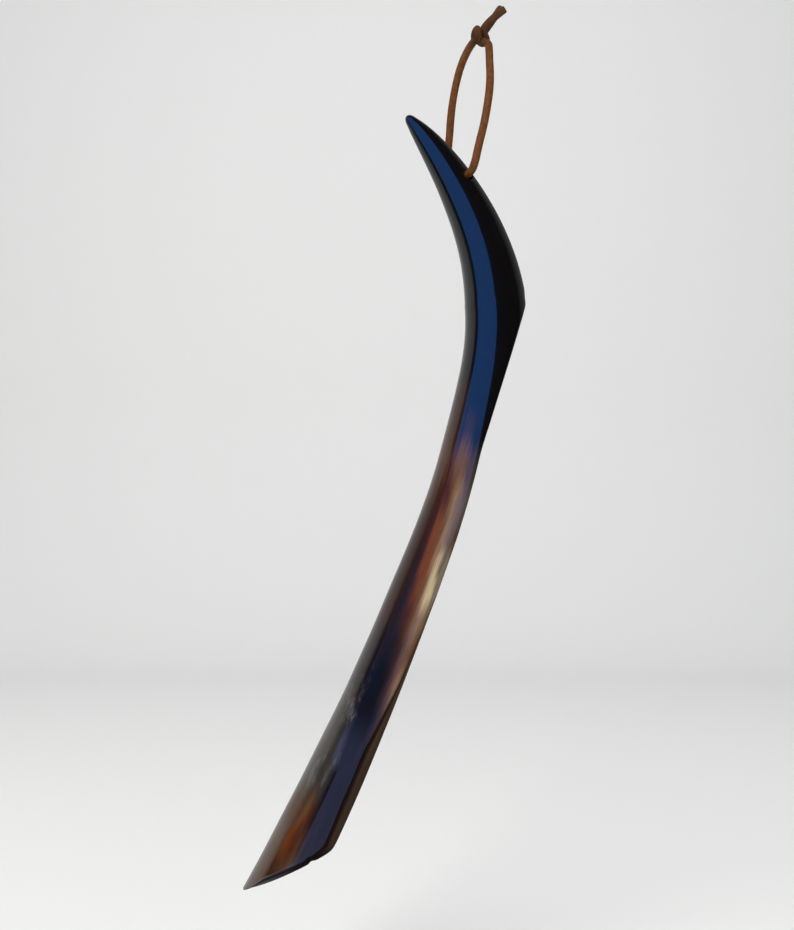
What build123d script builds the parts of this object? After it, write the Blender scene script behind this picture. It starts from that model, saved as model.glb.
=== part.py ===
"""Long shoehorn carved from one whole natural horn, hung by a leather thong tied in a loop.

Millimetres, +Z up.  The origin is where a wall hook bears on the thong, just under its knot.
X runs along the wall and Y into it.  The horn curves in the XZ plane and hangs below the origin:
its solid tip is the handle, and its hollow end, cut open to a trough, is the blade.
"""

import math
import os

from build123d import *

os.makedirs("parts", exist_ok=True)

# Horn centre line, from the tip down: the length of each stretch, and how far it turns towards -X
tip_heading = 40.0  # degrees from straight down, leaning towards +X
handle_length = 70.0
handle_turn = 16.5
elbow_length = 100.0
elbow_turn = 35.0
throat_length = 50.0
throat_turn = 3.0
waist_length = 50.0
waist_turn = 6.5
blade_length = 215.0
blade_turn = 5.6

# Horn girth: the handle swells like a paraboloid up to the elbow, the blade grows by a steady taper
elbow_from_tip = 120.0
elbow_depth = 35.2  # across the line, in the plane of the curve
elbow_breadth = 34.0  # along Y
tip_flat = 1.2  # how far the paraboloid's point lies past the blunted tip
depth_growth = 0.050  # mm of depth per mm of line, below the elbow
breadth_growth = 0.038
tip_round = 1.4

# Hollow of the horn, with a rounded nose near the throat
wall = 2.8
cavity_nose_from_tip = 150.0
cavity_full_from_tip = 230.0

# Saw cut that opens the hollow: it slopes in from the elbow to the waist, follows the horn line as the
# two rims, turns the blade's corners, and runs out across the tongue to the back of the horn
waist_from_tip = 212.0
waist_offset = 1.5  # from the horn line to the cut, towards the open side
corner_offset = 5.9
corner_round = 7.0
tongue_length = 47.0  # along the horn line, from the blade's corners to the tongue's end
tongue_trim = 1.0  # the end cut leaves the horn's back this far short of the line's end
rim_round = 1.0
cut_reach = 60.0  # how far the cut runs on past the horn

# Bore through the handle for the thong
bore_from_tip = 47.0
bore_offset = 2.2  # to the +X side of the line
bore_back = 1.5  # towards +Y
bore_turn = 30.0  # degrees between the bore and Y, seen from above
bore_round = 0.8
thong_play = 1.0  # between thong and bore, all round

# Thong: one round leather lace through the bore, both ends tied together over the hook
thong_diameter = 4.4
bore_centre = Vector(-12.5, 1.5, -83.5)
knot_centre = Vector(1.8, 0.0, 6.0)
knot_length = 14.4
knot_diameter = 12.0
first_corner = 13.2  # from the middle of the bore to where the thong turns up, outside either mouth

bore_diameter = thong_diameter + 2 * thong_play
bore_out = Vector(math.sin(math.radians(bore_turn)), -math.cos(math.radians(bore_turn)), 0)

front_points = [
    bore_centre,
    bore_centre + bore_out * first_corner,
    Vector(-3.6, -13.6, -78.5),
    Vector(-1.6, -12.9, -69.0),
    Vector(1.7, -11.2, -55.5),
    Vector(4.9, -8.3, -39.0),
    Vector(6.6, -5.2, -24.0),
    Vector(6.4, -2.4, -11.0),
    Vector(4.2, -0.6, 2.0),
]
rear_points = [
    bore_centre,
    bore_centre - bore_out * first_corner,
    Vector(-20.8, 16.3, -78.3),
    Vector(-18.6, 15.8, -68.5),
    Vector(-16.7, 13.5, -54.0),
    Vector(-15.7, 10.4, -37.5),
    Vector(-13.2, 6.9, -22.0),
    Vector(-9.6, 3.2, -9.0),
    Vector(-3.2, 0.8, 2.5),
]
front_tail_points = [
    Vector(3.4, -2.6, 7.4),
    Vector(8.2, -3.3, 13.4),
    Vector(12.8, -3.2, 17.2),
    Vector(16.9, -3.6, 20.6),
]
rear_tail_points = [
    Vector(3.0, 2.3, 8.0),
    Vector(7.4, 2.6, 14.6),
    Vector(11.4, 2.1, 20.4),
    Vector(14.2, 2.3, 25.2),
]

# ---------------------------------------------------------------- horn centre line

stretches = [
    (handle_length, handle_turn),
    (elbow_length, elbow_turn),
    (throat_length, throat_turn),
    (waist_length, waist_turn),
    (blade_length, blade_turn),
]
line_length = sum(length for length, turn in stretches)
corner_from_tip = line_length - tongue_length

with BuildLine(Plane.XZ) as horn_line:
    heading = tip_heading
    start = (0, 0)
    for length, turn in stretches:
        arc = JernArc(
            start=start,
            tangent=(math.sin(math.radians(heading)), -math.cos(math.radians(heading))),
            radius=length / math.radians(turn),
            arc_size=-turn,
        )
        start = ((arc @ 1).X, (arc @ 1).Z)
        heading -= turn

horn_wire = horn_line.wire()


def across(distance):
    """Direction across the horn line towards the side that is cut open."""
    along = horn_wire.tangent_at(distance / line_length)
    return Vector(-along.Z, 0, along.X)


bore_on_line = horn_wire.position_at(bore_from_tip / line_length)
line_shift = bore_centre - bore_on_line - across(bore_from_tip) * bore_offset - Vector(0, bore_back, 0)


def at(distance, offset=0.0):
    """Point at a distance from the tip along the line, offset towards the open side."""
    return horn_wire.position_at(distance / line_length) + line_shift + across(distance) * offset


def section_plane(distance):
    """Plane square to the horn line, with its X along +Y."""
    return Plane(
        origin=at(distance),
        x_dir=(0, 1, 0),
        z_dir=horn_wire.tangent_at(distance / line_length),
    )


def depth(distance):
    """Full depth of the horn across its line, in the plane of the curve."""
    if distance < elbow_from_tip:
        return elbow_depth * math.sqrt((distance + tip_flat) / (elbow_from_tip + tip_flat))
    return elbow_depth + depth_growth * (distance - elbow_from_tip)


def breadth(distance):
    """Full breadth of the horn along Y."""
    if distance < elbow_from_tip:
        return elbow_breadth * math.sqrt((distance + tip_flat) / (elbow_from_tip + tip_flat))
    return elbow_breadth + breadth_growth * (distance - elbow_from_tip)


def hollow_share(distance):
    """How far the hollow has opened: 0 at its nose, 1 where it is one wall inside the horn."""
    if distance >= cavity_full_from_tip:
        return 1.0
    left = (cavity_full_from_tip - distance) / (cavity_full_from_tip - cavity_nose_from_tip)
    return math.sqrt(1 - left**2)


def rim_point(share):
    """Point on the rim at a share of the way from waist to corner, easing out from the horn line."""
    eased = (1 - math.cos(math.pi * share)) / 2
    distance = waist_from_tip + (corner_from_tip - waist_from_tip) * share
    return at(distance, waist_offset + (corner_offset - waist_offset) * eased)


# ---------------------------------------------------------------- horn

# Sections stand closer together where the girth changes fast: near the tip and near the hollow's nose
handle_steps = 9
blade_steps = 9
hollow_steps = 12
hollow_crowding = 1.6
rim_steps = 5
nose_start = cavity_nose_from_tip + 1.0
below_elbow = line_length - elbow_from_tip
below_nose = line_length - nose_start
handle_stations = [elbow_from_tip * (step / handle_steps) ** 2 for step in range(handle_steps)]
blade_stations = [elbow_from_tip + below_elbow * step / blade_steps for step in range(blade_steps + 1)]
hollow_stations = [
    nose_start + below_nose * (step / hollow_steps) ** hollow_crowding for step in range(hollow_steps + 1)
]

with BuildPart() as horn:
    for distance in handle_stations + blade_stations:
        with BuildSketch(section_plane(distance)):
            Ellipse(breadth(distance) / 2, depth(distance) / 2)
    loft()
    tip_edge = horn.edges().sort_by(Axis.Z)[-1]
    fillet(tip_edge, radius=tip_round)

    for distance in hollow_stations:
        with BuildSketch(section_plane(distance)):
            Ellipse(
                (breadth(distance) / 2 - wall) * hollow_share(distance),
                (depth(distance) / 2 - wall) * hollow_share(distance),
            )
    loft(mode=Mode.SUBTRACT)

    elbow_point = at(elbow_from_tip, depth(elbow_from_tip) / 2)
    waist_point = at(waist_from_tip, waist_offset)
    corner_point = at(corner_from_tip, corner_offset)
    tongue_point = at(line_length - tongue_trim, -depth(line_length) / 2)
    slope = (elbow_point - waist_point).normalized()
    end_slope = (tongue_point - corner_point).normalized()
    rim_points = [rim_point(step / rim_steps) for step in range(1, rim_steps)]
    corner_along = horn_wire.tangent_at(corner_from_tip / line_length)
    with BuildSketch(Plane.XZ) as side_cut:
        with BuildLine(Plane.XZ):
            Line(elbow_point + slope * cut_reach, waist_point)
            Spline(waist_point, *rim_points, corner_point, tangents=[-slope, corner_along])
            Line(corner_point, tongue_point + end_slope * cut_reach)
            Polyline(
                tongue_point + end_slope * cut_reach,
                tongue_point + end_slope * cut_reach - Vector(0, 0, cut_reach),
                corner_point + Vector(2 * cut_reach, 0, -2 * cut_reach),
                elbow_point + slope * cut_reach + Vector(cut_reach, 0, 0),
                elbow_point + slope * cut_reach,
            )
        make_face()
        blade_corner = side_cut.vertices().sort_by_distance((corner_point.X, corner_point.Z))[0]
        fillet(blade_corner, radius=corner_round)
    extrude(amount=elbow_depth * 2, both=True, mode=Mode.SUBTRACT)
    fillet(horn.edges(Select.NEW), radius=rim_round)

    with BuildSketch(Plane(origin=bore_centre, x_dir=(0, 0, 1), z_dir=bore_out)):
        Circle(bore_diameter / 2)
    extrude(amount=elbow_depth, both=True, mode=Mode.SUBTRACT)
    mouths = [edge for edge in horn.edges(Select.NEW) if edge.is_closed]
    fillet(mouths, radius=bore_round)
horn.part.label = "horn"
export_step(horn.part, "parts/horn.step")

# ---------------------------------------------------------------- thong


def route_radii(points):
    """Largest radius that each corner of a route leaves room for."""
    radii = []
    for before, corner, after in zip(points, points[1:], points[2:]):
        run_in = corner - before
        run_out = after - corner
        turn = math.radians(run_in.get_angle(run_out))
        radii.append(0.45 * min(run_in.length, run_out.length) / math.tan(turn / 2))
    return radii


def report_route(name, points, path, part):
    """Print a route's runs, turns and radii, and its volume against its section times its length."""
    radii = ", ".join(f"{radius:.1f}" for radius in route_radii(points))
    runs = ", ".join(f"{(after - before).length:.1f}" for before, after in zip(points, points[1:]))
    section = math.pi * thong_diameter**2 / 4
    print(f"{name}: length {path.length:.1f}, runs {runs}, radii {radii}")
    print(f"{name}: volume {part.volume:.1f}, section times length {section * path.length:.1f}")


with BuildPart() as thong_knot:
    with BuildSketch(Plane(origin=knot_centre, x_dir=(1, 0, 0), z_dir=(0, -1, 0))):
        Ellipse(knot_length / 2, knot_diameter / 2)
        Rectangle(knot_length, knot_diameter, align=(Align.CENTER, Align.MAX), mode=Mode.SUBTRACT)
    revolve(axis=Axis(knot_centre, (1, 0, 0)))
thong_knot.part.label = "thong_knot"
export_step(thong_knot.part, "parts/thong_knot.step")

routes = {
    "thong_front": front_points,
    "thong_rear": rear_points,
    "thong_tail_front": front_tail_points,
    "thong_tail_rear": rear_tail_points,
}
for name, points in routes.items():
    with BuildPart() as strand:
        with BuildLine() as route:
            FilletPolyline(*points, radius=route_radii(points))
        path = route.wire()
        with BuildSketch(Plane(origin=path @ 0, z_dir=path % 0)):
            Circle(thong_diameter / 2)
        sweep(path=path)
        report_route(name, points, path, strand.part)
        add(thong_knot.part, mode=Mode.SUBTRACT)
    strand.part.label = name
    export_step(strand.part, f"parts/{name}.step")
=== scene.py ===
"""Long shoehorn carved from one whole natural horn, hung by a leather thong tied in a loop."""

import bmesh
import bpy
import numpy as np
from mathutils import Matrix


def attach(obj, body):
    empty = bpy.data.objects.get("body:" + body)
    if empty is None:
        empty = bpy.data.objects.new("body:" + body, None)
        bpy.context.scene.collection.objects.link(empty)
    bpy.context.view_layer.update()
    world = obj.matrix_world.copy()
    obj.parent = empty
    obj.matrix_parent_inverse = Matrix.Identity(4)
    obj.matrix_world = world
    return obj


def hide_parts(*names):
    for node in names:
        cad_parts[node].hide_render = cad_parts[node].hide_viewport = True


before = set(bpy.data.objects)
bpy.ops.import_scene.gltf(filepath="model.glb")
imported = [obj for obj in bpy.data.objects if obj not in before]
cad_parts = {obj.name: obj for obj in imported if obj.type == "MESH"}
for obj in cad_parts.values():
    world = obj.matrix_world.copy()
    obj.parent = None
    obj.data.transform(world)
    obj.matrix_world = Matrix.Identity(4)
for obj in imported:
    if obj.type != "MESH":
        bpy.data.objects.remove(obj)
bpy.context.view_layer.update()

# ================================================================ horn, carved and polished
# One whole horn.  The solid tip is the handle.  Below the elbow the natural hollow is sawn open
# to a trough, its rims and the slanting tongue are filed round, and all of it is polished.

mm = 0.001

# Centre line from the tip down: where each stretch ends, and its heading there in degrees from
# straight down towards +X
line_knots = np.array([0.0, 70.0, 170.0, 220.0, 270.0, 485.0]) * mm
line_headings = np.radians([40.0, 23.5, -11.5, -14.5, -21.0, -26.6])

elbow_along = 124.0 * mm
tongue_end_along = 484.0 * mm
elbow_depth = 35.7 * mm
elbow_breadth = 34.4 * mm
tip_top = -2.3 * mm
tip_point = 1.2 * mm
tip_blunt = 2.75 * mm
tip_dome = 3.4 * mm
depth_growth = 0.049
flare_along = 360.0 * mm
flare = 0.0152
breadth_growth = 0.038

wall = 2.8 * mm
hollow_nose_along = 150.0 * mm
hollow_full_along = 230.0 * mm

waist_along = 212.0 * mm
waist_out = 1.5 * mm
corner_along = 438.0 * mm
corner_out = 5.9 * mm
corner_ease = 2.0 * mm
waist_ease = 30.0 * mm

bore_along = 47.0 * mm
bore_out_of_line = 2.2 * mm
bore_centre = np.array([-12.5, 1.5, -83.5]) * mm
bore_turn = np.radians(30.0)
bore_axis = np.array([np.sin(bore_turn), -np.cos(bore_turn), 0.0])
bore_radius = 3.2 * mm

# Places and headings along the centre line, a quarter of a millimetre apart
line_along = np.linspace(-5.0, 490.0, 1981) * mm
line_heading = np.interp(line_along, line_knots, line_headings)
line_step = np.diff(line_along)
middle_heading = (line_heading[1:] + line_heading[:-1]) / 2
line_x = np.concatenate([[0.0], np.cumsum(np.sin(middle_heading) * line_step)])
line_z = np.concatenate([[0.0], np.cumsum(-np.cos(middle_heading) * line_step)])
bore_heading = np.interp(bore_along, line_along, line_heading)
bore_x, bore_z = (np.interp(bore_along, line_along, place) for place in (line_x, line_z))
line_x += bore_centre[0] - bore_out_of_line * np.cos(bore_heading) - bore_x
line_z += bore_centre[2] - bore_out_of_line * np.sin(bore_heading) - bore_z


def bend(along, out, side):
    """Points of the curved horn from their places on a straightened one: the centre line's point
    at a distance along from the tip, plus out across the line towards the open side, plus side
    along +Y."""
    heading = np.interp(along, line_along, line_heading)
    x = np.interp(along, line_along, line_x) + out * np.cos(heading)
    z = np.interp(along, line_along, line_z) + out * np.sin(heading)
    return np.stack(np.broadcast_arrays(x, side, z), -1)


def straighten(points, along):
    """The inverse of bend, from a first guess of along: along grows by what is left of the way to
    the point in the line's own direction, eight times over."""
    for _ in range(8):
        heading = np.interp(along, line_along, line_heading)
        dx = points[..., 0] - np.interp(along, line_along, line_x)
        dz = points[..., 2] - np.interp(along, line_along, line_z)
        along = along + dx * np.sin(heading) - dz * np.cos(heading)
    return along, dx * np.cos(heading) + dz * np.sin(heading), points[..., 1]


def outer_girth(along):
    """Half depth and half breadth of the horn.  Above the elbow both follow the square root of the
    distance from the tip's point, joined to the blunt tip's width by the fourth root of their summed
    fourth powers, and rounded off to a dome at the very tip; below the elbow they grow by a steady
    taper, and the depth by a little more near the end."""
    to_elbow = np.maximum(np.minimum(along, elbow_along) + tip_point, 0.0)
    swell = np.sqrt(to_elbow / (elbow_along + tip_point))
    swell = (swell**4 + (2 * tip_blunt / elbow_depth) ** 4) ** 0.25
    dome = np.clip((along - tip_top) / tip_dome, 0.0, 1.0)
    swell = swell * np.sqrt(dome * (2.0 - dome))
    below = np.maximum(along - elbow_along, 0.0)
    flared = flare * np.maximum(along - flare_along, 0.0)
    half_depth = (elbow_depth * swell + depth_growth * below) / 2 + flared
    half_breadth = (elbow_breadth * swell + breadth_growth * below) / 2
    return half_depth, half_breadth


def hollow_girth(along):
    """Half depth and half breadth of the hollow: the horn's less its wall, times a share that rises
    like a quarter circle from nothing at the nose."""
    left = (hollow_full_along - along) / (hollow_full_along - hollow_nose_along)
    share = np.sqrt(np.clip(1.0 - np.clip(left, 0.0, 1.0) ** 2, 0.0, 1.0))
    depth, breadth = outer_girth(along)
    return (depth - wall) * share, (breadth - wall) * share


def cut_out(along):
    """How far out from the centre line the saw cut lies: a straight run from the elbow to the waist,
    rims that ease outwards by half a cosine to the blade's corner, and a straight run across the
    tongue to its back.  A soft step joins the first two, and a smooth least value the last two."""

    def straight(first, last):
        """Out from the line to the straight run between two points of the profile."""
        start = bend(*first, 0.0)
        way = bend(*last, 0.0) - start
        heading = np.interp(along, line_along, line_heading)
        dx = start[0] - np.interp(along, line_along, line_x)
        dz = start[2] - np.interp(along, line_along, line_z)
        return (dx * way[2] - dz * way[0]) / (np.cos(heading) * way[2] - np.sin(heading) * way[0])

    throat = straight((elbow_along, elbow_depth / 2), (waist_along, waist_out))
    share = np.clip((along - waist_along) / (corner_along - waist_along), 0.0, 1.0)
    rims = waist_out + (corner_out - waist_out) * (1.0 - np.cos(np.pi * share)) / 2
    tongue_back = -outer_girth(tongue_end_along)[0]
    tongue = straight((corner_along, corner_out), (tongue_end_along, tongue_back))
    past_waist = np.clip((along - waist_along) / waist_ease + 0.5, 0.0, 1.0)
    past_waist = past_waist**2 * (3.0 - 2.0 * past_waist)
    blade = throat * (1.0 - past_waist) + rims * past_waist
    ended = (blade + tongue - np.sqrt((blade - tongue) ** 2 + corner_ease**2)) / 2
    return np.where(along < (waist_along + corner_along) / 2, blade, ended)


def crossing(girth, sign, low, high):
    """The distance along at which the cut meets the girth's own outline, halving the range."""
    for _ in range(60):
        middle = (low + high) / 2
        inside = sign * cut_out(middle) < girth(middle)[0]
        low, high = (low, middle) if inside == (sign > 0) else (middle, high)
    return (low + high) / 2


def sawn_edge(girth, start, end, facing):
    """The sharp edge where the cut meets a wall, from the upper end of the opening to the lower one
    on the +Y side, with the points a rounding further along the wall and along the cut.  The edge
    stands at the breadth that the ellipse of the girth has at the cut.  facing is -1 where the cut
    face lies inside the wall, and 1 where it lies outside."""
    edge_places, nearby = 4001, 0.2 * mm
    turn = np.linspace(0.0, np.pi, edge_places)
    along = start + (end - start) * (1.0 - np.cos(turn)) / 2
    depth, breadth = girth(along)
    out = np.clip(cut_out(along), -depth, depth)
    side = breadth * np.sqrt(np.clip(1.0 - (out / depth) ** 2, 0.0, 1.0))
    side[0] = side[-1] = 0.0
    edge = bend(along, out, side)
    way = np.gradient(edge, axis=0)
    way[0], way[-1] = (0.0, 1.0, 0.0), (0.0, -1.0, 0.0)
    way /= np.linalg.norm(way, axis=1, keepdims=True)
    heading = np.interp(along, line_along, line_heading)
    across = np.stack([np.cos(heading), 0.0 * heading, np.sin(heading)], -1)
    before, after = along - nearby, along + nearby
    profile = bend(after, cut_out(after), 0.0) - bend(before, cut_out(before), 0.0)
    face = np.cross(profile, (0.0, 1.0, 0.0))
    face *= np.sign(np.sum(face * across, 1, keepdims=True))
    round_wall = across * (out / depth**2)[:, None] + np.outer(side / breadth**2, (0.0, 1.0, 0.0))
    down_wall = np.cross(round_wall, way)
    down_wall *= -np.sign(np.sum(down_wall * face, 1, keepdims=True))
    down_wall /= np.linalg.norm(down_wall, axis=1, keepdims=True)
    over_face = np.cross(face, way)
    over_face *= facing * np.sign(np.sum(over_face * round_wall, 1, keepdims=True))
    over_face /= np.linalg.norm(over_face, axis=1, keepdims=True)
    wall_along, wall_out, wall_side = straighten(edge + rim_round * down_wall, along)
    depth, breadth = girth(wall_along)
    angle = np.arctan2(np.maximum(wall_side, 0.0) / breadth, wall_out / depth)
    angle[0], angle[-1] = 0.0, np.pi
    face_along, _, face_side = straighten(edge + rim_round * over_face, along)
    face_side[0] = face_side[-1] = 0.0
    length = np.concatenate([[0.0], np.cumsum(np.linalg.norm(np.diff(edge, axis=0), axis=1))])
    return {
        "length": length,
        "edge": edge,
        "wall_along": wall_along,
        "wall_angle": angle,
        "face_along": face_along,
        "face_side": face_side,
    }


def pick(edge, lengths):
    """The edge's values at the given lengths along it, one column at a time."""

    def at_lengths(values):
        return np.interp(lengths, edge["length"], values)

    return {
        name: np.stack([at_lengths(column) for column in values.T], -1)
        if values.ndim > 1
        else at_lengths(values)
        for name, values in edge.items()
    }


def ellipse(girth, along, angle):
    """Points of a wall: the ellipse of the girth at each distance along, at each angle from the open
    side."""
    depth, breadth = girth(along)
    return bend(along, depth * np.cos(angle), breadth * np.sin(angle))


def rounding(first, corner, last, steps):
    """A rounded corner, row by row: the parabola that touches both sides of the sharp corner."""
    t = np.linspace(0.0, 1.0, steps + 1)[:, None]
    first, corner, last = (side[:, None, :] for side in (first, corner, last))
    return (1 - t) ** 2 * first + 2 * t * (1 - t) * corner + t**2 * last


def other_side(points):
    """The same points on the -Y side."""
    return points * (1.0, -1.0, 1.0)


def spaced(knots, steps):
    """Lengths whose spacing changes evenly from one knot's step to the next: steps are counted up
    along very fine places, and the lengths are read off at whole counts."""
    fine_places = 20001
    fine = np.linspace(knots[0], knots[-1], fine_places)
    counts = np.concatenate([[0.0], np.cumsum(np.diff(fine) / np.interp(fine[1:], knots, steps))])
    whole = np.linspace(0.0, counts[-1], int(round(counts[-1])) + 1)
    return np.interp(whole, counts, fine)


# Rounding of the sawn edges, and how many faces lie over it, round the skin, round the hollow and
# across a rim
rim_round = 1.0 * mm
round_steps = 4
round_columns = 112
hollow_columns = 56
cut_columns = 4

outer_edge = sawn_edge(outer_girth, elbow_along, tongue_end_along, -1)
inner_start = crossing(hollow_girth, 1, hollow_nose_along, hollow_full_along)
inner_end = crossing(hollow_girth, -1, corner_along, tongue_end_along)
inner_edge = sawn_edge(hollow_girth, inner_start, inner_end, 1)

edge_length = outer_edge["length"][-1]
edge_knots = np.array([0.0, 15 * mm, 80 * mm, edge_length - 90 * mm, edge_length - 40 * mm, edge_length])
edge_steps = np.array([0.35, 0.8, 1.6, 1.6, 0.8, 0.6]) * mm
outer = pick(outer_edge, spaced(edge_knots, edge_steps))
outer_wall = ellipse(outer_girth, outer["wall_along"], outer["wall_angle"])
outer_face = bend(outer["face_along"], cut_out(outer["face_along"]), outer["face_side"])

# Rows of the cut face that reach the hollow's edge, each matched with a place on it: near both ends of
# the opening by length along the edge, and between them straight across the rim
end_zone = 30 * mm
beside = (outer["face_along"] > inner_start) & (outer["face_along"] < inner_end)
row_along = outer["face_along"][beside]
inner_length = np.interp(row_along, inner_edge["face_along"], inner_edge["length"])
low_length, high_length = np.interp(
    [inner_start + end_zone, inner_end - end_zone], inner_edge["face_along"], inner_edge["length"]
)
low_share = (row_along - row_along[0]) / (inner_start + end_zone - row_along[0])
high_share = (row_along[-1] - row_along) / (row_along[-1] - inner_end + end_zone)
inner_length = np.where(low_share < 1, low_share * low_length, inner_length)
inner_length = np.where(
    high_share < 1,
    inner_edge["length"][-1] - high_share * (inner_edge["length"][-1] - high_length),
    inner_length,
)
inner = pick(inner_edge, inner_length)
inner_wall = ellipse(hollow_girth, inner["wall_along"], inner["wall_angle"])
inner_face = bend(inner["face_along"], cut_out(inner["face_along"]), inner["face_side"])


def wall_rows(girth, along, angle, columns):
    """Rows of a wall, one to each distance along, from the angle on the +Y side round the back to the
    same angle on the other side."""
    share = np.linspace(0.0, 1.0, columns + 1)
    return ellipse(girth, along[:, None], angle[:, None] + (2 * np.pi - 2 * angle[:, None]) * share)


dome_rows, nose_rows = 15, 19
dome_along = tip_top + tip_dome * np.linspace(0.0, 1.0, dome_rows)[:-1] ** 2
handle_knots = np.array([tip_top + tip_dome, 20 * mm, 36 * mm, 60 * mm, 75 * mm, outer["wall_along"][0]])
handle_steps = np.array([0.45, 1.0, 0.5, 0.5, 1.1, 0.6]) * mm
handle_along = np.concatenate([dome_along, spaced(handle_knots, handle_steps)[:-1]])
skin_along = np.concatenate([handle_along, outer["wall_along"]])
skin_angle = np.concatenate([0.0 * handle_along, outer["wall_angle"]])
skin = wall_rows(outer_girth, skin_along, skin_angle, round_columns)

nose_length = inner["wall_along"][0] - hollow_nose_along
nose_along = hollow_nose_along + nose_length * np.linspace(0.0, 1.0, nose_rows)[:-1] ** 2
hollow = wall_rows(
    hollow_girth,
    np.concatenate([nose_along, inner["wall_along"]]),
    np.concatenate([0.0 * nose_along, inner["wall_angle"]]),
    hollow_columns,
)

share = np.linspace(0.0, 1.0, cut_columns + 1)[None, :]
rim_along = outer["face_along"][beside][:, None] * (1 - share) + inner["face_along"][:, None] * share
rim_side = outer["face_side"][beside][:, None] * (1 - share) + inner["face_side"][:, None] * share
rim = bend(rim_along, cut_out(rim_along), rim_side)

throat_rows = np.flatnonzero(outer["face_along"] <= inner_start)
tongue_rows = np.flatnonzero(outer["face_along"] >= inner_end)
whole_share = np.linspace(1.0, -1.0, 2 * cut_columns + 1)[None, :]


def whole_rows(rows):
    """Rows of the cut face that run right across it."""
    along = outer["face_along"][rows][:, None] + 0.0 * whole_share
    return bend(along, cut_out(along), outer["face_side"][rows][:, None] * whole_share)


first_rim = np.concatenate([rim[0], other_side(rim[0])[-2::-1]])[None]
last_rim = np.concatenate([rim[-1], other_side(rim[-1])[-2::-1]])[None]
throat = np.concatenate([whole_rows(throat_rows), first_rim])
tongue = np.concatenate([last_rim, whole_rows(tongue_rows)])
outer_round = rounding(outer_wall, outer["edge"], outer_face, round_steps)
inner_round = rounding(inner_face, inner["edge"], inner_wall, round_steps)

# Bore for the thong: a block of the skin is left out at each mouth, and rings run from the block's
# border to the mouth, over its rounded lip and through the horn
lip = 0.9 * mm
block_rows = 13
block_columns = 13
patch_rows = 9
patch_crowding = 0.8
bore_rings = 13
ring_count = 4 * (block_rows + block_columns)
bore_up = np.cross(bore_axis, (0.0, 0.0, 1.0))
bore_up = np.cross(bore_up / np.linalg.norm(bore_up), bore_axis)
bore_side = np.cross(bore_axis, bore_up)


def skin_along_bore(angle, radius, facing):
    """Where the line beside the bore's axis, at that angle and radius round it, leaves the horn on the
    side that it faces: the range between the middle of the horn and well outside is halved."""
    foot = bore_centre + radius * (
        np.outer(np.cos(angle), bore_up) + np.outer(np.sin(angle), bore_side)
    )
    low, high = np.zeros(len(angle)), np.full(len(angle), 30 * mm)
    for _ in range(40):
        middle = (low + high) / 2
        along, out, side = straighten(foot + facing * middle[:, None] * bore_axis, bore_along + 0 * middle)
        depth, breadth = outer_girth(along)
        outside = (out / depth) ** 2 + (side / breadth) ** 2 > 1
        low, high = np.where(outside, low, middle), np.where(outside, middle, high)
    return foot + facing * low[:, None] * bore_axis, along, np.arctan2(side / breadth, out / depth)


keep = np.ones((len(skin_along) - 1, round_columns), bool)
round_share = np.linspace(0, 1, round_columns + 1)
skin_angles = skin_angle[:, None] + (2 * np.pi - 2 * skin_angle[:, None]) * round_share
mouth_rings = []
bore_walls = []
ring_angle = np.linspace(0.0, 2 * np.pi, ring_count + 1)
for facing in (1.0, -1.0):
    _, mouth_along, mouth_angle = skin_along_bore(np.zeros(1), 0.0, facing)
    row = int(np.argmin(abs(skin_along - mouth_along[0])))
    column = int(np.argmin(abs(skin_angles[row] - mouth_angle[0] % (2 * np.pi))))
    rows = slice(row - block_rows, row + block_rows)
    columns = slice(column - block_columns, column + block_columns)
    keep[rows, columns] = False
    up = np.arange(row - block_rows, row + block_rows)
    down = np.arange(row + block_rows, row - block_rows, -1)
    right = np.arange(column - block_columns, column + block_columns)
    left = np.arange(column + block_columns, column - block_columns, -1)
    border_row = np.concatenate([up, 0 * right + rows.stop, down, 0 * left + rows.start])
    border_column = np.concatenate([0 * up + columns.start, right, 0 * down + columns.stop, left])
    border = skin[border_row, border_column]
    spoke = border - bore_centre
    angle = np.arctan2(spoke @ bore_side, spoke @ bore_up)
    if np.sum(np.sin(np.roll(angle, -1) - angle)) < 0:
        border_row, border_column, angle = border_row[::-1], border_column[::-1], angle[::-1]
    order = (np.arange(ring_count + 1) + int(np.argmin(abs(angle)))) % ring_count
    border_row, border_column = border_row[order], border_column[order]
    outer_lip, lip_along, lip_angle = skin_along_bore(ring_angle, bore_radius + lip, facing)
    sharp_lip, _, _ = skin_along_bore(ring_angle, bore_radius, facing)
    inner_lip = sharp_lip - facing * lip * bore_axis
    t = np.linspace(0.0, 1.0, patch_rows)[:, None] ** patch_crowding
    near_angle = skin_angles[border_row, border_column]
    lip_angle = near_angle + (lip_angle - near_angle + np.pi) % (2 * np.pi) - np.pi
    patch_along = skin_along[border_row] * (1 - t) + lip_along * t
    patch = ellipse(outer_girth, patch_along, near_angle * (1 - t) + lip_angle * t)
    patch[0], patch[-1] = skin[border_row, border_column], outer_lip
    patch[:, -1] = patch[:, 0]
    lip_rows = rounding(patch[-1], sharp_lip, inner_lip, round_steps)
    lip_rows[-1] = lip_rows[0]
    mouth_rings += [patch, lip_rows]
    bore_walls.append(lip_rows[:, -1])
t = np.linspace(0.0, 1.0, bore_rings)[:, None, None]
mouth_rings.append(bore_walls[0] * (1 - t) + bore_walls[1] * t)


def joined(grids):
    """One set of points and four-sided faces from several grids of points, each with the faces of it
    that are kept."""
    points, faces, first = [], [], 0
    for grid, kept in grids:
        rows, columns = grid.shape[:2]
        corner = first + np.arange(rows - 1)[:, None] * columns + np.arange(columns - 1)
        quads = np.stack([corner, corner + 1, corner + columns + 1, corner + columns], -1)
        faces.append(quads.reshape(-1, 4) if kept is None else quads[kept])
        points.append(grid.reshape(-1, 3))
        first += rows * columns
    return np.concatenate(points), np.concatenate(faces)


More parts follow.
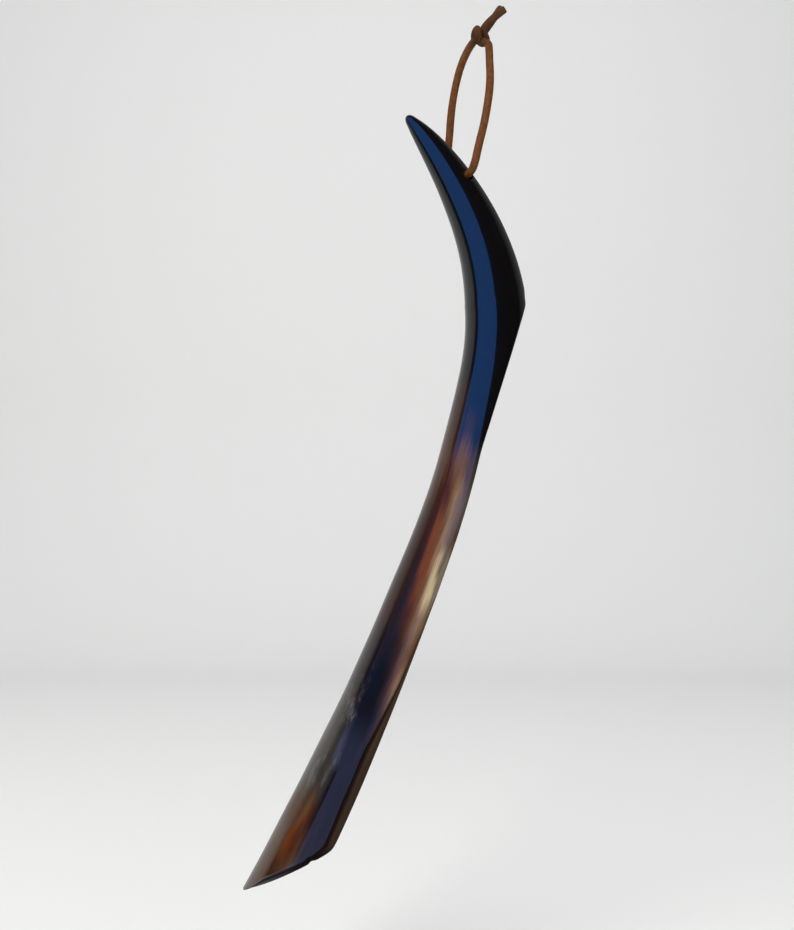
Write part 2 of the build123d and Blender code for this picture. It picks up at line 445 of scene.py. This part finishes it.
def new_piece(name, points, faces):
    """A smooth closed mesh: the seams and poles of its grids are merged, and its faces turned
    outwards."""
    same_place = 0.001 * mm
    mesh = bpy.data.meshes.new(name)
    mesh.from_pydata(points, [], faces)
    mesh.update()
    shell = bmesh.new()
    shell.from_mesh(mesh)
    bmesh.ops.remove_doubles(shell, verts=shell.verts, dist=same_place)
    loose = [vert for vert in shell.verts if not vert.link_faces]
    bmesh.ops.delete(shell, geom=loose, context="VERTS")
    bmesh.ops.recalc_face_normals(shell, faces=shell.faces)
    shell.to_mesh(mesh)
    shell.free()
    mesh.shade_smooth()
    piece = bpy.data.objects.new(name, mesh)
    bpy.context.scene.collection.objects.link(piece)
    return piece


def points_of(mesh):
    """The mesh's points as an array."""
    flat = np.empty(3 * len(mesh.vertices), np.float32)
    mesh.vertices.foreach_get("co", flat)
    return flat.reshape(-1, 3).astype(float)


horn_grids = [(skin, keep), (hollow, None), (throat, None), (tongue, None)]
for side_of in (np.array, other_side):
    horn_grids += [(side_of(grid), None) for grid in (rim, outer_round, inner_round)]
horn_grids += [(rings, None) for rings in mouth_rings]
horn = new_piece("carved_horn", *joined(horn_grids))

# Each point's place on the straightened horn, from a first guess at the nearest of the line's places
horn_points = points_of(horn.data)
off_line_x = horn_points[:, None, 0] - line_x[::20]
off_line_z = horn_points[:, None, 2] - line_z[::20]
guess = line_along[::20][np.argmin(off_line_x**2 + off_line_z**2, axis=1)]
grain_along, grain_out, grain_side = straighten(horn_points, guess)

# Filing: how far through the wall each point lies, 0 at the hollow and 1 at the skin, is worked out
# from its distances from the centre line as shares of both walls' own.  The outer side of the rims
# and of the tongue is filed down to a slope by moving points into the horn, square to the cut, by
# the slope's depth times that share, less and less further down the skin.
skin_depth, skin_breadth = outer_girth(grain_along)
hollow_depth, hollow_breadth = hollow_girth(grain_along)
skin_share = np.hypot(grain_out / skin_depth, grain_side / skin_breadth)
no_less, least_share = 0.01 * mm, 1e-6
hollow_share = np.hypot(
    grain_out / np.maximum(hollow_depth, no_less), grain_side / np.maximum(hollow_breadth, no_less)
)
thinner = 1 / np.maximum(hollow_share, 1.0)
wider = 1 / np.maximum(skin_share, least_share)
through = np.clip((1 - thinner) / np.maximum(wider - thinner, least_share), 0.0, 1.0)
slope_knots = np.array([295.0, 345.0, 385.0, 415.0, 434.0, 450.0, 490.0]) * mm
slope_depths = np.array([0.0, 2.4, 6.6, 6.6, 5.6, 4.0, 3.4]) * mm
slope_depth = np.interp(grain_along, slope_knots, slope_depths) * through
slope_reach, back_fade = 18 * mm, 9 * mm
tongue_slant = np.radians(36.0)
turn_start, turn_length = 424 * mm, 28 * mm
slope_depth *= np.clip((grain_out + skin_depth) / back_fade, 0.0, 1.0)
tongue_turn = tongue_slant * np.clip((grain_along - turn_start) / turn_length, 0.0, 1.0)
under_cut = np.maximum(cut_out(grain_along) - grain_out, 0.0) * np.cos(tongue_turn)
slope_depth *= np.clip(1.0 - under_cut / slope_reach, 0.0, 1.0) ** 2

# A small chip is broken out of the -Y rim, just past the blade's corner: a bell curve both ways
chip_along, chip_length, chip_height, chip_depth = 447.5 * mm, 1.3 * mm, 1.2 * mm, 0.9 * mm
chip = np.exp(-(((grain_along - chip_along) / chip_length) ** 2) - (under_cut / chip_height) ** 2)
slope_depth += chip_depth * chip * (grain_side < 0)


def half_width(out, depth, breadth):
    """Half the width of an ellipse at a distance out: its half breadth times the square root of 1
    less the square of the share of its half depth."""
    return np.sqrt(np.clip(1.0 - (out / depth) ** 2, 1e-4, 1.0)) * breadth


# The skin keeps to its ellipse as it goes down, and only the skin does: the last tenth of the wall
width_before = half_width(grain_out, skin_depth, skin_breadth)
grain_out = grain_out - slope_depth * np.cos(tongue_turn)
grain_along = grain_along - slope_depth * np.sin(tongue_turn)
width_after = half_width(grain_out, *outer_girth(grain_along))
fuller = np.clip(width_after / width_before, 0.7, 1.4) - 1
grain_side = grain_side * (1 + fuller * np.clip(through * 10 - 9, 0.0, 1.0))

# The elbow's corner is filed round: points near it move in towards the line by a bell curve
elbow_filed, elbow_spread = 0.9 * mm, 3.5 * mm
elbow_near = np.hypot(grain_along - elbow_along, np.hypot(grain_out - elbow_depth / 2, 0.5 * grain_side))
grain_out = grain_out - elbow_filed * np.exp(-((elbow_near / elbow_spread) ** 2))

# Hand work: the file and the polishing wheel leave the girth uneven by a few parts in 1000, as the
# sum of three sine waves along the horn, each of them shifted round it
around = np.arctan2(grain_side, grain_out)
long_wave, short_wave, lobe_wave = 19 * mm, 7.5 * mm, 31 * mm
uneven = (
    0.0030 * np.sin(grain_along / long_wave + 1.3 * np.cos(around))
    + 0.0022 * np.sin(grain_along / short_wave + 2.0 * np.sin(around + 0.4))
    + 0.0015 * np.cos(3 * around + grain_along / lobe_wave)
)
swollen = bend(grain_along, grain_out * (1 + uneven), grain_side * (1 + uneven))
horn.data.vertices.foreach_set("co", swollen.astype(np.float32).ravel())

# The finish reads each point's place on the straightened horn, in centimetres, and its share of the
# way through the wall
straight_places = np.stack([grain_out, grain_side, grain_along], -1) * 100
grain = horn.data.attributes.new("grain", "FLOAT_VECTOR", "POINT")
grain.data.foreach_set("vector", straight_places.astype(np.float32).ravel())
depth_in_wall = horn.data.attributes.new("through", "FLOAT", "POINT")
depth_in_wall.data.foreach_set("value", through.astype(np.float32))
horn.data.update()


class Value:
    """One changing number of a finish, so that sums on it are written as sums."""

    def __init__(self, finish, socket):
        self.finish, self.socket = finish, socket

    def maths(self, operation, *values):
        """A Math node of that operation on those values."""
        return self.finish.node("ShaderNodeMath", {"operation": operation}, dict(enumerate(values)))

    def __add__(self, other):
        return self.maths("ADD", self, other)

    __radd__ = __add__

    def __mul__(self, other):
        return self.maths("MULTIPLY", self, other)

    __rmul__ = __mul__

    def __sub__(self, other):
        return self.maths("SUBTRACT", self, other)

    def __rsub__(self, other):
        return self.maths("SUBTRACT", other, self)

    def __truediv__(self, other):
        return self.maths("DIVIDE", self, other)


class Finish:
    """A material, or the world, as it is built up, node by node."""

    def __init__(self, holder):
        self.holder = holder
        holder.use_nodes = True
        self.tree = holder.node_tree
        self.tree.nodes.clear()

    def node(self, kind, settings=None, sockets=None, output=0):
        """A node of that kind with its settings, then its sockets' values or links."""
        made = self.tree.nodes.new(kind)
        for name, value in (settings or {}).items():
            if name == "stops":
                ramp = made.color_ramp
                for place, colour in value:
                    stop = ramp.elements.new(place)
                    stop.color = colour
                ramp.elements.remove(ramp.elements[0])
                ramp.elements.remove(ramp.elements[-1])
            else:
                setattr(made, name, value)
        for name, value in (sockets or {}).items():
            if isinstance(value, Value):
                self.tree.links.new(value.socket, made.inputs[name])
            else:
                made.inputs[name].default_value = value
        return Value(self, made.outputs[output]) if len(made.outputs) else None

    def rise(self, value, low, high):
        """0 below low and 1 above high, with a soft step between them."""
        return self.node(
            "ShaderNodeMapRange",
            {"interpolation_type": "SMOOTHSTEP"},
            {"Value": value, "From Min": low, "From Max": high},
        )

    def band(self, value, low, high, soft):
        """1 between low and high, with soft edges of that width."""
        return self.rise(value, low - soft, low + soft) * (1 - self.rise(value, high - soft, high + soft))

    def mix(self, share, under, over):
        """under where share is 0 and over where it is 1."""
        return self.node("ShaderNodeMix", {"data_type": "RGBA"}, {0: share, 6: under, 7: over}, 2)

    def scaled(self, place, scale):
        """The place with each of its three numbers multiplied."""
        return self.node("ShaderNodeVectorMath", {"operation": "MULTIPLY"}, {0: place, 1: scale})

    def noise(self, place, scale, detail, roughness):
        """Cloudy noise from 0 to 1."""
        sockets = {"Vector": place, "Scale": scale, "Detail": detail, "Roughness": roughness}
        return self.node("ShaderNodeTexNoise", {}, sockets)

    def bump(self, height, distance, strength):
        """Normals of a relief whose height 1 stands that many metres up."""
        sockets = {"Height": height, "Distance": distance, "Strength": strength}
        return self.node("ShaderNodeBump", {}, sockets)

    def close(self, sockets):
        """Ends in one Principled shader with those sockets."""
        shader = self.node("ShaderNodeBsdfPrincipled", {}, sockets)
        self.node("ShaderNodeOutputMaterial", {}, {"Surface": shader})
        return self.holder


polished = Finish(bpy.data.materials.new("polished_horn"))
place = polished.node("ShaderNodeAttribute", {"attribute_name": "grain"}, {}, "Vector")
parts = polished.node("ShaderNodeSeparateXYZ", {}, {"Vector": place}).socket.node
out_cm, _, along_cm = (Value(polished, socket) for socket in parts.outputs)

# Fibres run lengthwise, so every streak's cloud is drawn out along the horn
streaks = polished.noise(polished.scaled(place, (1.0, 1.0, 0.05)), 2.4, 4.0, 0.6)
fine = polished.noise(polished.scaled(place, (1.0, 1.0, 0.03)), 9.0, 3.0, 0.6)
hairs = polished.noise(polished.scaled(place, (1.0, 1.0, 0.02)), 30.0, 2.0, 0.6)
clouds = polished.noise(polished.scaled(place, (1.0, 1.0, 0.4)), 1.6, 4.0, 0.6)

# Colours of growth: at each distance along in cm, which colour lies how far out in cm
black = (0.0022, 0.0018, 0.0020, 1)
night = (0.0090, 0.0045, 0.0040, 1)
dark_brown = (0.026, 0.0090, 0.0045, 1)
deep_red = (0.052, 0.0105, 0.0008, 1)
red_brown = (0.125, 0.0300, 0.0022, 1)
brown = (0.062, 0.027, 0.012, 1)
amber = (0.105, 0.046, 0.017, 1)
tan = (0.190, 0.108, 0.055, 1)
# cream: the pale horn's own colour, painted brighter as the glow of light shining through the thin wall
cream_and_glow = (0.430, 0.330, 0.165, 1)
olive = (0.150, 0.125, 0.080, 1)
smoke = (0.030, 0.025, 0.021, 1)
haze = (0.058, 0.053, 0.047, 1)
taupe = (0.085, 0.055, 0.034, 1)
growth = (
    (16.5, ((-2.4, night), (-1.8, black), (0.6, black))),
    (18.6, ((-2.0, dark_brown), (-1.4, dark_brown), (-1.1, black), (0.6, black))),
    (
        20.3,
        (
            (-1.9, brown), (-1.45, dark_brown), (-1.1, night),
            (-0.8, dark_brown), (-0.4, black), (0.6, black),
        ),
    ),
    (
        22.2,
        (
            (-1.9, brown), (-1.45, brown), (-1.26, deep_red), (-1.0, amber),
            (-0.6, amber), (-0.35, brown), (0.0, smoke),
        ),
    ),
    (
        24.0,
        (
            (-1.9, brown), (-1.6, dark_brown), (-1.4, deep_red), (-1.0, deep_red),
            (-0.8, amber), (-0.55, tan), (-0.2, taupe), (0.1, haze),
        ),
    ),
    (
        26.2,
        (
            (-1.9, dark_brown), (-1.5, dark_brown), (-1.35, deep_red), (-1.05, red_brown),
            (-0.62, amber), (-0.5, tan), (-0.2, taupe), (0.15, brown),
        ),
    ),
    (
        28.0,
        (
            (-2.0, dark_brown), (-1.55, dark_brown), (-1.35, night), (-1.05, red_brown), (-0.7, red_brown),
            (-0.5, tan), (-0.28, cream_and_glow), (-0.1, taupe), (0.1, olive),
        ),
    ),
    (
        29.5,
        (
            (-2.0, dark_brown), (-1.6, dark_brown), (-1.4, night), (-1.15, dark_brown), (-0.8, red_brown),
            (-0.5, amber), (-0.27, cream_and_glow), (-0.1, cream_and_glow), (0.1, olive),
        ),
    ),
    (
        31.2,
        (
            (-2.1, dark_brown), (-1.7, dark_brown), (-1.4, night), (-1.0, dark_brown),
            (-0.7, deep_red), (-0.45, amber), (-0.1, tan), (0.3, taupe),
        ),
    ),
    (
        33.0,
        (
            (-2.1, smoke), (-1.7, night), (-1.4, night), (-0.9, night),
            (-0.5, dark_brown), (-0.2, amber), (0.1, amber), (0.4, brown),
        ),
    ),
    (
        34.6,
        (
            (-2.1, smoke), (-1.7, night), (-1.4, black), (-0.7, black),
            (-0.4, dark_brown), (-0.15, amber), (0.02, tan), (0.25, amber),
        ),
    ),
    (
        36.6,
        (
            (-2.3, haze), (-1.9, smoke), (-1.5, night), (-1.2, black),
            (-0.4, black), (-0.15, dark_brown), (0.1, brown),
        ),
    ),
    (38.6, ((-2.2, haze), (-1.7, smoke), (-1.45, smoke), (-1.15, black), (-0.1, black), (0.3, night))),
    (40.8, ((-2.3, haze), (-1.8, smoke), (-1.4, smoke), (-1.1, black), (-0.3, black), (0.2, night))),
    (
        42.8,
        (
            (-2.4, brown), (-1.95, brown), (-1.6, amber), (-1.4, deep_red),
            (-1.1, night), (-0.4, black), (0.2, night),
        ),
    ),
    (
        44.6,
        (
            (-2.4, taupe), (-2.1, brown), (-1.85, red_brown), (-1.5, deep_red),
            (-1.3, brown), (-0.9, night), (0.2, night),
        ),
    ),
    (
        46.4,
        (
            (-2.5, taupe), (-2.2, brown), (-1.95, dark_brown),
            (-1.6, brown), (-1.2, taupe), (0.2, dark_brown),
        ),
    ),
)


def strayed(value, by_streaks, by_fine):
    """The value moved either way by the streaks and by the fine ones, each of them less a half."""
    return value + (streaks - 0.5) * by_streaks + (fine - 0.5) * by_fine


# One ramp across the horn for each distance along, and a soft step from each to the next
least_out, whole_out = -2.7, 3.5
across = strayed(out_cm, 0.40, 0.22)
across_share = (across - least_out) / whole_out
growing = strayed(along_cm, 2.6, 1.6)
colour = None
before = 0.0
for at, laid in growth:
    stops = [((out - least_out) / whole_out, shade) for out, shade in laid]
    made = polished.node("ShaderNodeValToRGB", {"stops": stops}, {0: across_share})
    colour = made if colour is None else polished.mix(polished.rise(growing, before, at), colour, made)
    before = at

# A milky cloud on the back of the blade, dark hairs everywhere, fine brown streaks on the blade and
# one dark vein.  Each patch is a band along the horn times one across it: from, to, softness in cm.
milk_along, milk_across = (35.0, 41.0, 1.4), (-2.3, -1.25, 0.25)
vein_along, vein_across = (22.0, 29.0, 0.5), (-1.44, -1.20, 0.05)
milky = (0.150, 0.150, 0.138, 1)
vein_brown = (0.022, 0.006, 0.002, 1)
milk = polished.band(along_cm, *milk_along) * polished.band(across, *milk_across)
milk = milk * polished.rise(clouds, 0.50, 0.74)
colour = polished.mix(milk * 0.75, colour, milky)
colour = polished.mix(polished.rise(hairs, 0.50, 0.75) * 0.45, colour, night)
blade_streaks = polished.rise(fine, 0.55, 0.80) * polished.rise(along_cm, 22.0, 25.0)
colour = polished.mix(blade_streaks * 0.22, colour, brown)
vein = polished.band(across, *vein_across) * polished.band(along_cm, *vein_along)
colour = polished.mix(vein * 0.7, colour, vein_brown)

# The filed slopes keep the horn's brown, darkened as painted shade, and near black on the tongue as
# painted shade, with a painted shade line along the skin's edge and another along the hollow's.  Bands
# of depth in the wall run from 0 at the hollow to 1 at the skin.
slope_in_wall = (0.06, 0.95, 0.04)
# Painted shade: thin dark lines where the slope meets the skin and where it meets the hollow
skin_shade_line, hollow_shade_line = (0.74, 0.975, 0.03), (0.02, 0.16, 0.04)
# Painted shade: the slopes' colours are the horn's brown made darker, and the tongue's is near black
slope_shade_dark, slope_shade_light = (0.022, 0.011, 0.006, 1), (0.055, 0.032, 0.018, 1)
tongue_painted_shade = (0.008, 0.003, 0.002, 1)
# Colour of those painted shade lines
painted_shade_line = (0.010, 0.004, 0.003, 1)
through_wall = polished.node("ShaderNodeAttribute", {"attribute_name": "through"}, {}, "Fac")
filed = polished.band(through_wall, *slope_in_wall) * polished.rise(along_cm, 28.0, 34.0)
# Painted shade laid over the filed slopes, darkest on the tongue
slope_colour_and_shade = polished.mix(polished.rise(streaks, 0.3, 0.7), slope_shade_dark, slope_shade_light)
slope_colour_and_shade = polished.mix(polished.rise(along_cm, 43.2, 44.4), slope_colour_and_shade, tongue_painted_shade)
colour = polished.mix(filed * 0.92, colour, slope_colour_and_shade)
# Painted shade lines along both edges of the slopes
shade_lines = polished.band(through_wall, *skin_shade_line) + polished.band(through_wall, *hollow_shade_line)
shade_lines = shade_lines * polished.rise(along_cm, 30.0, 36.0)
colour = polished.mix(shade_lines * 0.85, colour, painted_shade_line)

# The polish: a clear gloss, worn to satin on the red part of the blade, and duller over the milky
# cloud and the slopes, with hardly any scratches
satin_along, satin_across = (21.8, 37.6, 1.3), (-1.65, -0.40, 0.25)
satin = polished.band(along_cm, *satin_along) * polished.band(across, *satin_across)
scratches = polished.noise(polished.scaled(place, (1.0, 1.0, 0.03)), 45.0, 2.0, 0.5)
scratch_height = 0.01 * mm
horn.data.materials.append(
    polished.close(
        {
            "Base Color": colour,
            "Roughness": 0.26 + 0.12 * fine + 0.12 * milk + 0.15 * filed,
            "Specular IOR Level": 0.12,
            "Coat Weight": 0.96 - 0.88 * satin - 0.25 * milk - 0.45 * filed,
            "Coat Roughness": 0.055,
            "Coat IOR": 1.54,
            "Normal": polished.bump(scratches, scratch_height, 0.25),
        }
    )
)
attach(horn, "horn")
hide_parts("horn")

# ================================================================ thong, a lace through the bore
# One soft round leather lace.  It is pushed through the bore and both ends are brought up over the
# hook, where the front end is tied round the rear one in a plain knot, and cut off with a knife.

thong_diameter = 4.4 * mm
front_route = np.array(
    [
        bore_centre / mm,
        (-5.9, -9.93, -83.5),
        (-3.6, -13.6, -78.5),
        (-1.6, -12.9, -69.0),
        (1.7, -11.2, -55.5),
        (4.9, -8.3, -39.0),
        (6.6, -5.2, -24.0),
        (6.4, -3.2, -11.0),
        (6.2, -3.2, -3.0),
        (5.6, -2.6, -0.4),
        (1.8, -1.0, 2.2),
        (-1.6, 2.0, 4.0),
        (-2.0, 0.8, 7.0),
        (-0.9, -4.2, 7.6),
        (-0.6, -5.6, 5.2),
        (-0.3, -4.2, 2.8),
        (1.0, 0.8, 2.6),
        (3.8, 2.8, 2.6),
        (5.6, 1.8, 4.4),
        (3.9, 0.2, 6.4),
        (2.7, -1.8, 8.6),
        (6.9, -3.3, 12.9),
        (11.5, -3.2, 17.0),
        (15.4, -3.6, 19.9),
    ]
)
rear_route = np.array(
    [
        bore_centre / mm,
        (-19.1, 12.93, -83.5),
        (-20.8, 16.3, -78.3),
        (-18.6, 15.8, -68.5),
        (-16.7, 13.5, -54.0),
        (-15.7, 10.4, -37.5),
        (-13.2, 6.9, -22.0),
        (-9.6, 3.2, -9.0),
        (-3.2, 0.8, 2.5),
        (3.0, 2.3, 8.0),
        (7.4, 2.6, 14.6),
        (11.4, 2.1, 20.4),
        (14.1, 2.3, 24.4),
    ]
)


# Each stretch of a route becomes this many straight pieces
points_between = 10


def smooth_route(name, route):
    """Points along the smooth curve that those control points steer: each stretch is a parabola that
    runs on smoothly from the one before."""
    curve = bpy.data.curves.new(name, "CURVE")
    curve.dimensions = "3D"
    curve.resolution_u = points_between
    spline = curve.splines.new("NURBS")
    spline.points.add(len(route) - 1)
    weighted = np.hstack([route * mm, np.ones((len(route), 1))])
    spline.points.foreach_set("co", weighted.ravel())
    spline.order_u = 3
    spline.use_endpoint_u = True
    holder = bpy.data.objects.new(name, curve)
    mesh = bpy.data.meshes.new_from_object(holder)
    path = points_of(mesh)
    bpy.data.objects.remove(holder)
    bpy.data.curves.remove(curve)
    bpy.data.meshes.remove(mesh)
    return path


def carried_frames(path):
    """Directions along the path, and two across it that turn no more than the path makes them: each
    pair is the one before, turned by what the direction turned."""
    way = np.gradient(path, axis=0)
    way /= np.linalg.norm(way, axis=1, keepdims=True)
    first = np.cross(way[0], (0.0, 0.0, 1.0))
    first /= np.linalg.norm(first)
    across = [first]
    for before, after in zip(way[:-1], way[1:]):
        carried = across[-1] - after * (across[-1] @ after)
        across.append(carried / np.linalg.norm(carried))
    across = np.array(across)
    return way, across, np.cross(way, across)


# The lace is cut from hide: its section is a circle slightly squared, a little under the thong's
# diameter on average, and its six waves of unevenness are this strong
lace_squareness = 2.6
lace_share = 0.97
lace_waves, lace_unevenness = 6, 0.012
lace_columns = 32


def lace(name, path, seed):
    """A lace carried along the path: the sum of the squareness powers of its radius's two parts is
    the same at every angle, the radius swells and thins in sine waves along its length and round
    it, and both ends close over a cut face."""
    way, across, up = carried_frames(path)
    length = np.concatenate([[0.0], np.cumsum(np.linalg.norm(np.diff(path, axis=0), axis=1))])
    angle = np.linspace(0.0, 2 * np.pi, lace_columns + 1)
    rng = np.random.default_rng(seed)
    powers = abs(np.cos(angle)) ** lace_squareness + abs(np.sin(angle)) ** lace_squareness
    square = powers ** (-1 / lace_squareness)
    phase = rng.uniform(0.0, 2 * np.pi, lace_waves)
    pitch = rng.uniform(3.0, 14.0, lace_waves) * mm
    uneven = sum(
        lace_unevenness * np.sin(length[:, None] / wave + shift + lobes * angle)
        for lobes, (wave, shift) in enumerate(zip(pitch, phase))
    )
    radius = thong_diameter / 2 * lace_share * square * (1 + uneven)
    rings = path[:, None] + radius[..., None] * (
        np.cos(angle)[:, None] * across[:, None] + np.sin(angle)[:, None] * up[:, None]
    )
    rings[:, -1] = rings[:, 0]
    caps = []
    for end, centre in ((rings[0], path[0]), (rings[-1], path[-1])):
        share = np.array([1.0, 0.95, 0.6, 0.0])[:, None, None]
        caps.append(centre + (end - centre) * share)
    made = new_piece(name, *joined([(rings, None)] + [(cap, None) for cap in caps]))
    return made, length[-1]


# Tan leather, mottled, and darker from just below the knot upwards
dark_tan, pale_tan = (0.085, 0.028, 0.005, 1), (0.150, 0.052, 0.009, 1)
upper_brown = (0.040, 0.017, 0.007, 1)
darker_from, darkest_from = -6 * mm, 4 * mm
leather_relief = 0.12 * mm
leather = Finish(bpy.data.materials.new("leather"))
spot = leather.node("ShaderNodeTexCoord", {}, {}, "Object")
mottle = leather.noise(spot, 420.0, 4.0, 0.6)
grainy = leather.noise(spot, 1500.0, 3.0, 0.6)
tone = leather.mix(leather.rise(mottle, 0.3, 0.7), dark_tan, pale_tan)
height = leather.node("ShaderNodeSeparateXYZ", {}, {"Vector": spot}, "Z")
upper_share = leather.rise(height, darker_from, darkest_from)
tone = leather.mix(upper_share * 0.6, tone, upper_brown)
leather_finish = leather.close(
    {
        "Base Color": tone,
        "Roughness": 0.62 + 0.2 * grainy,
        "Specular IOR Level": 0.22,
        "Normal": leather.bump(grainy + mottle, leather_relief, 0.6),
    }
)

for name, route, nodes, facing, seed in (
    ("thong_front_strand", front_route, ("thong_front", "thong_tail_front", "thong_knot"), 1.0, 3),
    ("thong_rear_strand", rear_route, ("thong_rear", "thong_tail_rear"), -1.0, 8),
):
    path = smooth_route(name, route)
    strand, strand_length = lace(name, path, seed)
    strand.data.materials.append(leather_finish)
    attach(strand, "thong")
    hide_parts(*nodes)
    exit_point = skin_along_bore(np.zeros(1), 0.0, facing)[0][0]

# ================================================================ studio
# A pale paper floor that sweeps up into a backdrop, soft lamps that light the horn without showing
# in it, a blue card and a dark room that only its polish shows, and the camera.

floor_z = -0.56
sweep_radius = 0.7
sweep_back = 1.9
sweep_reach = 4.0
bow = np.linspace(0.0, np.pi / 2, 17)
sweep_bow = sweep_back - sweep_radius + sweep_radius * np.sin(bow)
sweep_y = np.concatenate([[-sweep_reach], sweep_bow, [sweep_back]])
sweep_z = floor_z + np.concatenate([[0.0], sweep_radius * (1 - np.cos(bow)), [sweep_reach]])
sweep_x = np.linspace(-sweep_reach, sweep_reach, 9)
sweep_grid = np.stack(np.broadcast_arrays(sweep_x[None, :], sweep_y[:, None], sweep_z[:, None]), -1)
sweep_mesh = bpy.data.meshes.new("sweep")
sweep_points, sweep_faces = joined([(sweep_grid, None)])
sweep_mesh.from_pydata(sweep_points, [], sweep_faces)
sweep_mesh.shade_smooth()
sweep = bpy.data.objects.new("sweep", sweep_mesh)
bpy.context.scene.collection.objects.link(sweep)
paper = Finish(bpy.data.materials.new("pale_paper"))
sweep_mesh.materials.append(paper.close({"Base Color": (0.80, 0.80, 0.79, 1), "Roughness": 0.9}))
sweep.visible_glossy = False


def lamp(name, size, place, aim, power, colour):
    """A soft rectangular lamp, facing the point that it is aimed at, which the gloss doesn't show."""
    light = bpy.data.lights.new(name, "AREA")
    light.shape = "RECTANGLE"
    light.size, light.size_y = size
    light.energy = power
    light.color = colour
    holder = bpy.data.objects.new(name, light)
    holder.location = place
    way = np.array(place) - np.array(aim)
    tilt = np.arctan2(np.hypot(way[0], way[1]), way[2])
    turn = np.arctan2(way[0], -way[1])
    holder.rotation_euler = (tilt, 0.0, turn)
    holder.visible_glossy = False
    bpy.context.scene.collection.objects.link(holder)


middle = (-0.04, 0.0, -0.24)
backdrop = (0.0, 1.9, -0.3)
warm, cool, white = (1.0, 0.97, 0.93), (0.95, 0.97, 1.0), (1.0, 1.0, 1.0)
lamp("key", (1.2, 1.2), (-0.9, -1.3, 0.9), middle, 30, warm)
lamp("fill", (1.5, 1.5), (1.2, -1.2, 0.2), middle, 10, cool)
lamp("backdrop_light", (3.0, 1.0), (0.0, -0.2, 2.2), backdrop, 16, white)

# A tall blue card, bent round the horn from the camera's side to its left, which only the gloss sees:
# brighter above than below, and narrower in its middle.  Its left and right edges are given at some
# heights as turns in degrees from straight in front.
card_radius = 1.35
left_heights, left_turns = [-0.85, -0.62, -0.50, -0.33, -0.18, -0.05], [-60, -50, -42, -42, -64, -74]
right_heights, right_turns = [-0.85, -0.3, 0.0, 0.15, 0.35, 0.7], [-2, 3, 5, 0, -8, -6]
card_rows = np.array([-2.0, -0.85, -0.62, -0.50, -0.33, -0.18, -0.05, 0.15, 0.35, 0.7, 2.0])
card_left = np.interp(card_rows, left_heights, left_turns)
card_right = np.interp(card_rows, right_heights, right_turns)
card_share = np.linspace(0.0, 1.0, 25)
card_turn = np.radians(card_left[:, None] + (card_right - card_left)[:, None] * card_share)
card_x = middle[0] + card_radius * np.sin(card_turn)
card_y = -card_radius * np.cos(card_turn)
card_grid = np.stack(np.broadcast_arrays(card_x, card_y, card_rows[:, None]), -1)
card_mesh = bpy.data.meshes.new("blue_card")
card_points, card_faces = joined([(card_grid, None)])
card_mesh.from_pydata(card_points, [], card_faces)
card = bpy.data.objects.new("blue_card", card_mesh)
for ray in ("camera", "diffuse", "shadow", "transmission"):
    setattr(card, "visible_" + ray, False)
bpy.context.scene.collection.objects.link(card)
dusk_blue, sky_blue = (0.26, 0.31, 0.66, 1), (0.09, 0.40, 1.35, 1)
glow = Finish(bpy.data.materials.new("blue_glow"))
card_spot = glow.node("ShaderNodeTexCoord", {}, {}, "Object")
card_height = glow.node("ShaderNodeSeparateXYZ", {}, {"Vector": card_spot}, "Z")
glow_colour = glow.mix(glow.rise(card_height, -0.30, 0.10), dusk_blue, sky_blue)
emission = glow.node("ShaderNodeEmission", {}, {"Color": glow_colour, "Strength": 1.3})
glow.node("ShaderNodeOutputMaterial", {}, {"Surface": emission})
card_mesh.materials.append(glow.holder)

# A pale room lights everything.  The gloss shows it only behind the horn, mottled where it begins and
# fainter on the right, and a dark room elsewhere.
pale_room, dark_room = (0.80, 0.82, 0.84, 1), (0.02, 0.02, 0.025, 1)
world = bpy.data.worlds.new("studio")
room = Finish(world)
way_out = room.node("ShaderNodeTexCoord", {}, {}, "Generated")
room_x = room.node("ShaderNodeSeparateXYZ", {}, {"Vector": way_out}, "X")
room_y = room.node("ShaderNodeSeparateXYZ", {}, {"Vector": way_out}, "Y")
glossy_ray = room.node("ShaderNodeLightPath", {}, {}, "Is Glossy Ray")
mottled = room.noise(way_out, 3.0, 4.0, 0.6)
behind = room.rise(room_y + (mottled - 0.5) * 0.5, -0.05, 0.10)
behind = behind * (1 - 0.75 * room.rise(room_x, -0.1, 0.1))
seen = room.mix(glossy_ray * (1 - behind), pale_room, dark_room)
background = room.node("ShaderNodeBackground", {}, {"Color": seen, "Strength": 0.60})
room.node("ShaderNodeOutputWorld", {}, {"Surface": background})
bpy.context.scene.world = world
bpy.context.scene.view_settings.view_transform = "Standard"

# The camera stands half a metre in front of the blade and looks a little upwards
camera_place = (-0.04817, -0.48181, -0.29288)
camera_tilt = np.radians(95.0)
camera_data = bpy.data.cameras.new("camera")
camera_data.sensor_fit = "HORIZONTAL"
camera_data.sensor_width = 36.0
camera_data.lens = 38.54
camera = bpy.data.objects.new("camera", camera_data)
camera.location = camera_place
camera.rotation_euler = (camera_tilt, 0.0, 0.0)
bpy.context.scene.collection.objects.link(camera)
bpy.context.scene.camera = camera
